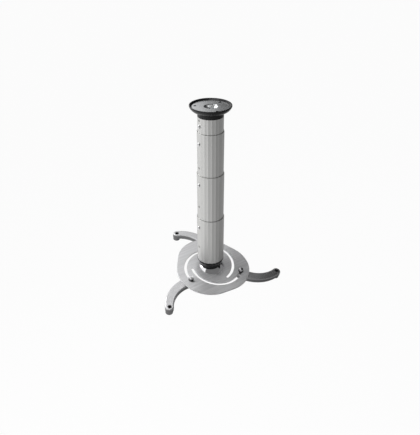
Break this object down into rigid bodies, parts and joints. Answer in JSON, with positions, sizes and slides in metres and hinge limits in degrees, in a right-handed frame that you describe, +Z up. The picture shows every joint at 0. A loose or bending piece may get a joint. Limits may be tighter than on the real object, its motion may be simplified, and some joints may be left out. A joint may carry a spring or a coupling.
{
  "type": "projector ceiling mount",
  "caption": "Telescopic projector ceiling mount: fluted tubes hang from a round ceiling plate, and a ball joint below carries a lobed plate with curved slots and bent clamp arms.",
  "frame": {"origin": "centre of the circle of ceiling screws, in the upper face of the ceiling plate", "axes": "+Z up along the column to the ceiling, -Y towards the viewer of the picture, +X to its right"},
  "size_m": [0.2568, 0.242, 0.4133],
  "materials": {
    "satin_steel": "silver satin, pressed sheet",
    "black_gloss": "black, moulded gloss",
    "grey_aluminium": "turned",
    "zinc_steel": "zinc plated",
    "satin_aluminium": "satin anodised extrusion",
    "bright_steel": "bright nickel plated",
    "spring_steel": "blued",
    "white_nylon": "natural nylon",
    "polished_chrome": "polished",
    "brushed_aluminium": "line brushed, clear anodised",
    "cast_aluminium": "fine silver lacquer on a casting",
    "black_washer": "black nylon"
  },
  "bodies": {
    "ceiling": {"ceiling_plate": "satin_steel", "canopy": "black_gloss"},
    "column_top": {"top_collar": "black_gloss", "top_plug": "grey_aluminium", "top_plug_screws": "bright_steel", "pivot_bolt": "zinc_steel", "pivot_washer": "zinc_steel", "pivot_nut": "zinc_steel", "tube_1": "satin_aluminium"},
    "tube_2": {"tube_2": "satin_aluminium", "lock_screw_2": "bright_steel"},
    "tube_3": {"tube_3": "satin_aluminium", "lock_screw_3": "bright_steel"},
    "tube_4": {"tube_4": "satin_aluminium", "lock_screw_4": "bright_steel", "base_plug": "grey_aluminium", "base_plug_screws": "bright_steel", "base_collar": "black_gloss", "clamp_bolt": "zinc_steel", "cup_washer": "zinc_steel", "disc_springs": "spring_steel", "clamp_nut": "zinc_steel"},
    "swivel": {"pressure_ring": "white_nylon"},
    "hub": {"hub_dome": "polished_chrome", "retaining_ring": "zinc_steel"},
    "plate": {"carrier_plate": "brushed_aluminium"},
    "carriage_1": {"arm_screw_1": "bright_steel", "arm_washer_1": "black_washer", "arm_nut_1": "bright_steel"},
    "arm_1": {"arm_1": "cast_aluminium", "tip_bush_1": "black_washer"},
    "carriage_2": {"arm_screw_2": "bright_steel", "arm_washer_2": "black_washer", "arm_nut_2": "bright_steel"},
    "arm_2": {"arm_2": "cast_aluminium", "tip_bush_2": "black_washer"},
    "carriage_3": {"arm_screw_3": "bright_steel", "arm_washer_3": "black_washer", "arm_nut_3": "bright_steel"},
    "arm_3": {"arm_3": "cast_aluminium", "tip_bush_3": "black_washer"}
  },
  "joints": [
    {"name": "column_pan", "type": "hinge", "parent": "ceiling", "child": "column_top", "pos_m": [0, 0, 0], "axis": [0, 0, 1], "continuous": true},
    {"name": "tube_2_slide", "type": "slide", "parent": "column_top", "child": "tube_2", "axis": [0, 0, 1], "range_m": [-0.065, 0.007]},
    {"name": "tube_3_slide", "type": "slide", "parent": "tube_2", "child": "tube_3", "axis": [0, 0, 1], "range_m": [-0.007, 0.059]},
    {"name": "tube_4_slide", "type": "slide", "parent": "tube_3", "child": "tube_4", "axis": [0, 0, 1], "range_m": [-0.007, 0.055]},
    {"name": "ball_tilt_side", "type": "hinge", "parent": "tube_4", "child": "swivel", "pos_m": [0, 0, -0.39668], "axis": [0, 1, 0], "range_deg": [-16, 2]},
    {"name": "ball_tilt_forward", "type": "hinge", "parent": "swivel", "child": "hub", "pos_m": [0, 0, -0.39668], "axis": [0.9925, 0, -0.1219], "range_deg": [-16.8, 1.2]},
    {"name": "plate_pan", "type": "hinge", "parent": "hub", "child": "plate", "pos_m": [0, 0, -0.39668], "axis": [0.1207, -0.1357, 0.9834], "continuous": true},
    {"name": "arm_1_slot", "type": "hinge", "parent": "plate", "child": "carriage_1", "pos_m": [0.0133, 0.00043, -0.37436], "axis": [0.1207, -0.1357, 0.9834], "range_deg": [-91, 0.2]},
    {"name": "arm_1_swing", "type": "hinge", "parent": "carriage_1", "child": "arm_1", "pos_m": [0.06857, -0.01165, -0.38281], "axis": [0.1207, -0.1357, 0.9834], "range_deg": [-75, 75]},
    {"name": "arm_2_slot", "type": "hinge", "parent": "plate", "child": "carriage_2", "pos_m": [-0.00538, 0.004, -0.37157], "axis": [0.1207, -0.1357, 0.9834], "range_deg": [-73, 18.8]},
    {"name": "arm_2_swing", "type": "hinge", "parent": "carriage_2", "child": "arm_2", "pos_m": [-0.00345, 0.06066, -0.36399], "axis": [0.1207, -0.1357, 0.9834], "range_deg": [-75, 75]},
    {"name": "arm_3_slot", "type": "hinge", "parent": "plate", "child": "carriage_3", "pos_m": [0.00059, -0.01399, -0.37479], "axis": [0.1207, -0.1357, 0.9834], "range_deg": [-85, 6.9]},
    {"name": "arm_3_swing", "type": "hinge", "parent": "carriage_3", "child": "arm_3", "pos_m": [-0.04294, -0.0511, -0.37456], "axis": [0.1207, -0.1357, 0.9834], "range_deg": [-75, 75]}
  ]
}
